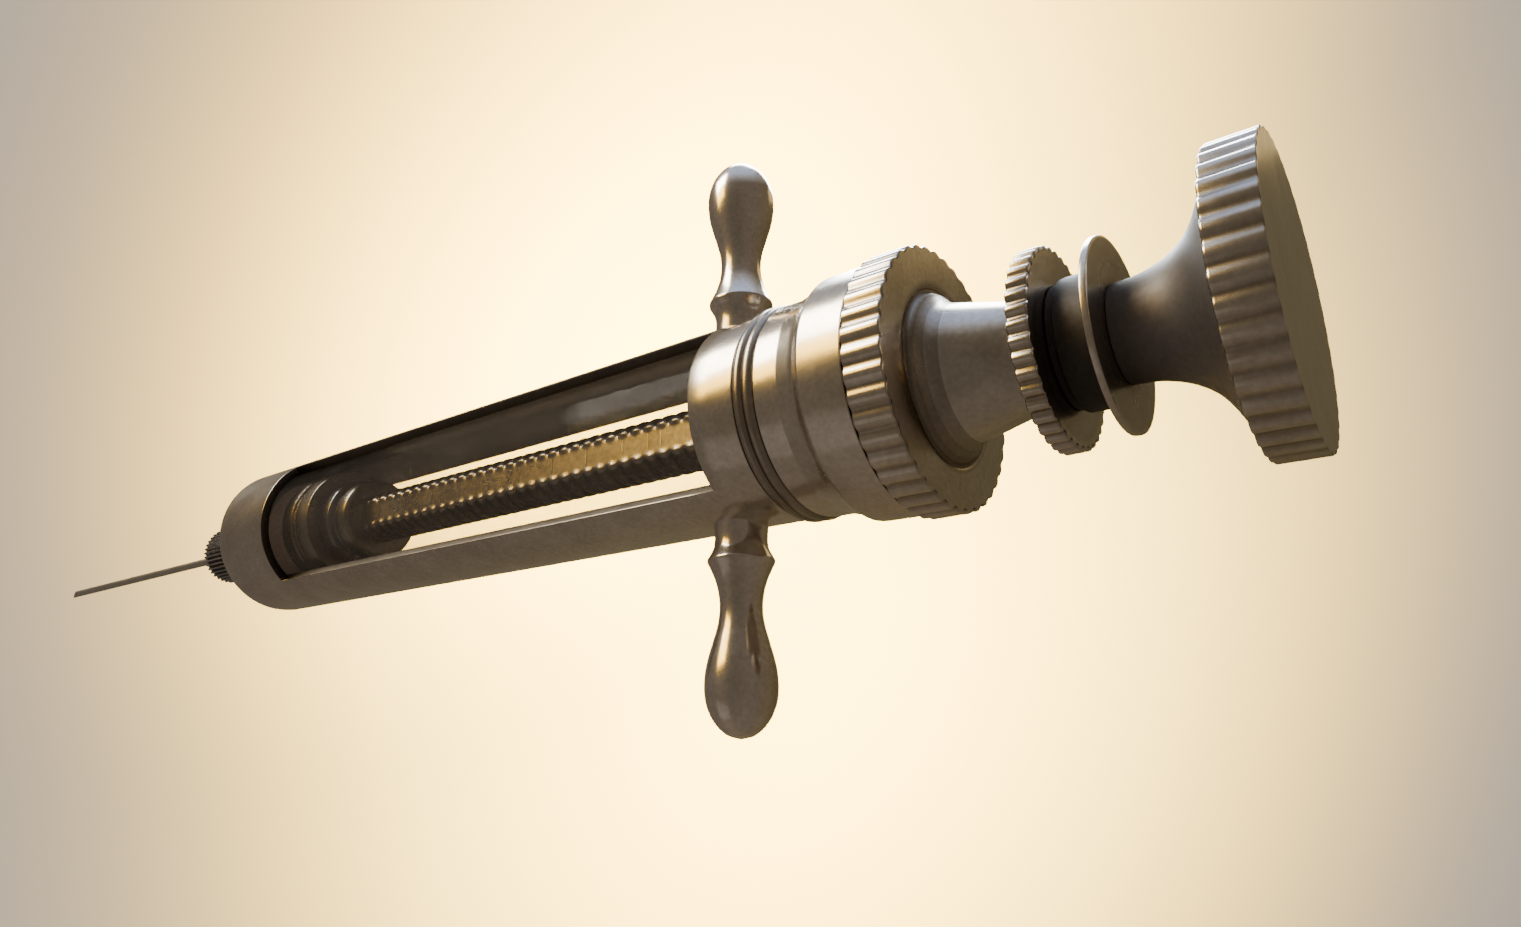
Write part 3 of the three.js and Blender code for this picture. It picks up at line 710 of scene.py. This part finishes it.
def scale_marks():
    """The quarter marks on both flats, as thin bars that stand just proud."""
    verts = []
    faces = []
    for side in (1, -1):
        for k in range(MARK_COUNT):
            x = FIRST_MARK - MARK_STEP * k
            base = len(verts)
            for dx in (-MARK_WIDTH / 2, MARK_WIDTH / 2):
                for y in (-MARK_LENGTH / 2, MARK_LENGTH / 2):
                    for z in (ROD_FLAT - MARK_SUNK, ROD_FLAT + MARK_PROUD):
                        verts.append(((x + dx) * MM, y * MM, side * z * MM))
            for face in ((0, 1, 3, 2), (4, 6, 7, 5), (0, 4, 5, 1), (2, 3, 7, 6), (1, 5, 7, 3),
                         (0, 2, 6, 4)):
                faces.append(tuple(base + i for i in face))
    return mesh_object("scale_marks", verts, faces)


def scale_digit(number):
    """A generic numeral beside its whole-number mark, on both flats."""
    text = bpy.data.curves.new("numeral_%d" % number, "FONT")
    text.body = str(number)
    text.size = DIGIT_SIZE * MM
    text.align_x = "CENTER"
    text.align_y = "CENTER"
    text.extrude = MARK_PROUD * MM
    text.resolution_u = 4
    holder = bpy.data.objects.new("numeral_%d" % number, text)
    bpy.context.scene.collection.objects.link(holder)
    bpy.context.view_layer.update()
    mesh = bpy.data.meshes.new_from_object(holder)
    bpy.data.objects.remove(holder)
    x = FIRST_MARK - MARK_STEP * MARKS_A_NUMBER * (number - 1) + DIGIT_OFFSET
    bm = bmesh.new()
    for side in (1, -1):
        part = mesh.copy()
        for v in part.vertices:
            v.co = (v.co.x + x * MM, side * v.co.y, side * (v.co.z + ROD_FLAT * MM))
        bm.from_mesh(part)
        bpy.data.meshes.remove(part)
    bmesh.ops.remove_doubles(bm, verts=bm.verts, dist=1e-8)
    out = bpy.data.meshes.new("numeral_mesh_%d" % number)
    bm.to_mesh(out)
    bm.free()
    bpy.data.meshes.remove(mesh)
    obj = bpy.data.objects.new("numeral_mesh_%d" % number, out)
    bpy.context.scene.collection.objects.link(obj)
    return obj


finish_piece(scale_marks(), None, "plunger", "bright")
for number in (1, 2, 3):
    finish_piece(scale_digit(number), None, "plunger", "bright")


# --------------------------------------------------------------- needle, guide

NEEDLE_R = 0.36
NEEDLE_BORE = 0.19
NEEDLE_SPAN = (-134.9, -92.6)
SLANT_LENGTH = 2.7
NEEDLE_SEGMENTS = 40


def needle_tube():
    """Drawn tube whose tip is cut on a slant."""
    outer, bore = NEEDLE_R, NEEDLE_BORE
    tip, rear = NEEDLE_SPAN
    lean = SLANT_LENGTH / (2 * outer)
    verts = []
    for k in range(NEEDLE_SEGMENTS):
        a = 2 * math.pi * k / NEEDLE_SEGMENTS
        y, z = math.cos(a), math.sin(a)
        verts += [((tip + (outer + outer * z) * lean) * MM, outer * y * MM, outer * z * MM),
                  (rear * MM, outer * y * MM, outer * z * MM),
                  (rear * MM, bore * y * MM, bore * z * MM),
                  ((tip + (outer + bore * z) * lean) * MM, bore * y * MM, bore * z * MM)]
    faces = []
    for k in range(NEEDLE_SEGMENTS):
        n = (k + 1) % NEEDLE_SEGMENTS
        for c in range(4):
            d = (c + 1) % 4
            faces.append((k * 4 + c, k * 4 + d, n * 4 + d, n * 4 + c))
    return mesh_object("needle_tube", verts, faces)


finish_piece(needle_tube(), "needle_cannula", "needle", "needle", 40)

# The keyed guide inside the cap is the one CAD node that stays.
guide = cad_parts["rod_guide"].data
guide.materials.clear()
guide.materials.append(MATERIALS["brown"])


# --------------------------------------------------------------- floor, lights

FLOOR_Z = -0.8
FLOOR_REACH = 12.0
FLOOR_TONE = (0.86, 0.78, 0.62)


def studio_floor():
    """Wide pale floor; metal doesn't mirror it, so the undersides stay brown."""
    mesh = bpy.data.meshes.new("studio_floor")
    mesh.from_pydata([(x * FLOOR_REACH, y * FLOOR_REACH, FLOOR_Z)
                      for x, y in ((-1, -1), (1, -1), (1, 1), (-1, 1))], [], [(0, 1, 2, 3)])
    obj = bpy.data.objects.new("studio_floor", mesh)
    bpy.context.scene.collection.objects.link(obj)
    mat, nodes, links, shader = new_material("pale_floor")
    shader.inputs["Base Color"].default_value = (*FLOOR_TONE, 1)
    shader.inputs["Roughness"].default_value = 0.95
    shader.inputs["Specular IOR Level"].default_value = 0.0
    mesh.materials.append(mat)
    obj.visible_glossy = False
    obj.visible_shadow = False


studio_floor()
CENTRE = Vector((-0.035, 0, 0))


def aimed(name, data, place, aim):
    """Places a light so that it shines along aim, its width lying along the syringe."""
    obj = bpy.data.objects.new(name, data)
    bpy.context.scene.collection.objects.link(obj)
    back = -Vector(aim).normalized()
    along = Vector((1, 0, 0)) - back * back.x
    along.normalize()
    around = back.cross(along)
    obj.rotation_euler = Matrix((along, around, back)).transposed().to_euler()
    obj.location = place
    obj.visible_camera = False
    return obj


def light_from(name, direction, distance, size, radiance, color):
    """Soft panel that lies in direction from the syringe and shines back at it.

    size is (along the syringe, around it) in metres. The panel shows in reflections only.
    """
    data = bpy.data.lights.new(name, "AREA")
    data.shape = "RECTANGLE"
    data.size, data.size_y = size
    data.energy = radiance * math.pi * size[0] * size[1]
    data.color = color
    place = CENTRE + Vector(direction).normalized() * distance
    aimed(name, data, place, CENTRE - place).visible_diffuse = False


# Name, direction, distance, size, radiance, colour.
PANELS = [
    ("key_white", (-0.54, 0.74, 0.4), 1.2, (0.5, 0.54), 20.0, (1.0, 0.96, 0.84)),
    ("key_gold", (-0.54, 0.49, 0.68), 1.2, (0.5, 0.32), 9.0, (1.0, 0.62, 0.07)),
    ("back_white", (-0.25, 0.78, -0.57), 1.0, (0.46, 0.6), 24.0, (0.84, 0.93, 1.0)),
    ("back_warm", (0.12, 0.57, -0.81), 1.2, (0.7, 0.2), 0.8, (1.0, 0.72, 0.3)),
    ("low_fill", (-0.5, -0.6, 0.62), 1.2, (0.8, 0.6), 0.08, (1.0, 0.98, 0.98)),
]

for panel in PANELS:
    light_from(*panel)


def floor_pool(name, place, target, half_angle, watts, color):
    """Soft spot below the syringe that pools light on the floor alone."""
    data = bpy.data.lights.new(name, "SPOT")
    data.spot_size = math.radians(2 * half_angle)
    data.spot_blend = 1.0
    data.shadow_soft_size = 0.0
    data.energy = watts
    data.color = color
    aim = Vector((*target, FLOOR_Z)) - Vector(place)
    aimed(name, data, place, aim).visible_glossy = False


floor_pool("pool_near", (-0.465, 0.069, -0.03), (-0.833, 0.265), 60.7, 411, (1.0, 0.689, 0.108))
floor_pool("pool_far", (-0.722, 0.207, -0.02), (-1.206, 1.5), 70.1, 528, (1.0, 0.644, 0.0845))


def floor_wash():
    """Even shadowless light for the floor's far parts."""
    data = bpy.data.lights.new("floor_wash", "SUN")
    data.energy = 1.76
    data.color = (0.89, 0.855, 0.93)
    data.use_shadow = False
    aimed("floor_wash", data, (0, 0, 1), (0, 0, -1)).visible_glossy = False


floor_wash()


# What the metal mirrors, by direction: up from the floor (z), along the syringe (x) and
# along the finger grips (y), which is upwards in the camera's picture.
ROOM_BY_HEIGHT = [
    (0.0, (0.125, 0.103, 0.058)), (0.12, (0.17, 0.14, 0.088)), (0.45, (0.165, 0.139, 0.114)),
    (0.7, (0.165, 0.145, 0.122)), (1.0, (0.125, 0.11, 0.09)),
]
ROOM_BY_LENGTH = [
    (0.0, (0.95, 0.95, 0.97)), (0.1, (1.0, 1.0, 1.0)), (0.15, (1.15, 1.15, 1.15)),
    (0.27, (1.25, 1.2, 1.15)), (0.5, (1.0, 1.0, 1.0)), (1.0, (0.95, 0.95, 0.95)),
]
SKY_BY_SIDE = [
    (0.0, (0.0, 0.0, 0.0)), (0.5, (0.22, 0.24, 0.28)), (0.77, (0.42, 0.56, 0.84)),
    (1.0, (0.5, 0.7, 1.15)),
]
SKY_STARTS = 0.7
WALL_SEEN = (0.83, 0.68, 0.42)


def studio_world():
    """Dim brown room, brighter away from the knob, cooler towards +Y, plain pale to the camera."""
    world = bpy.data.worlds.new("studio")
    bpy.context.scene.world = world
    world.use_nodes = True
    nodes, links = world.node_tree.nodes, world.node_tree.links
    back = nodes["Background"]
    coords = nodes.new("ShaderNodeTexCoord")
    split = nodes.new("ShaderNodeSeparateXYZ")
    links.new(coords.outputs["Generated"], split.inputs[0])
    height = to_range(nodes, links, split.outputs["Z"], 0, 1, -1, 1)
    room = ramp(nodes, links, height, ROOM_BY_HEIGHT)
    length = to_range(nodes, links, split.outputs["X"], 0, 1, -1, 1)
    lean = ramp(nodes, links, length, ROOM_BY_LENGTH)
    side = to_range(nodes, links, split.outputs["Y"], 0, 1, SKY_STARTS, 1)
    sky = ramp(nodes, links, side, SKY_BY_SIDE)
    tone = mixed(nodes, links, 1.0, mixed(nodes, links, 1.0, room, lean, "MULTIPLY"), sky, "ADD")
    path = nodes.new("ShaderNodeLightPath")
    seen = mixed(nodes, links, path.outputs["Is Camera Ray"], tone, WALL_SEEN)
    links.new(seen, back.inputs["Color"])
    back.inputs["Strength"].default_value = 1.0


studio_world()


# -------------------------------------------------------------------- camera

camera = bpy.data.cameras.new("camera")
camera.sensor_width = 36
camera.lens = 24.195
camera.shift_x = 0.01084
camera.shift_y = 0.00285
camera.clip_start = 0.002
camera.clip_end = 20
camera_obj = bpy.data.objects.new("camera", camera)
bpy.context.scene.collection.objects.link(camera_obj)
camera_obj.location = (0.005415, -0.020915, 0.048698)
camera_obj.rotation_euler = Euler([math.radians(turn) for turn in (16.5966, 37.3278, -0.1136)])
bpy.context.scene.camera = camera_obj
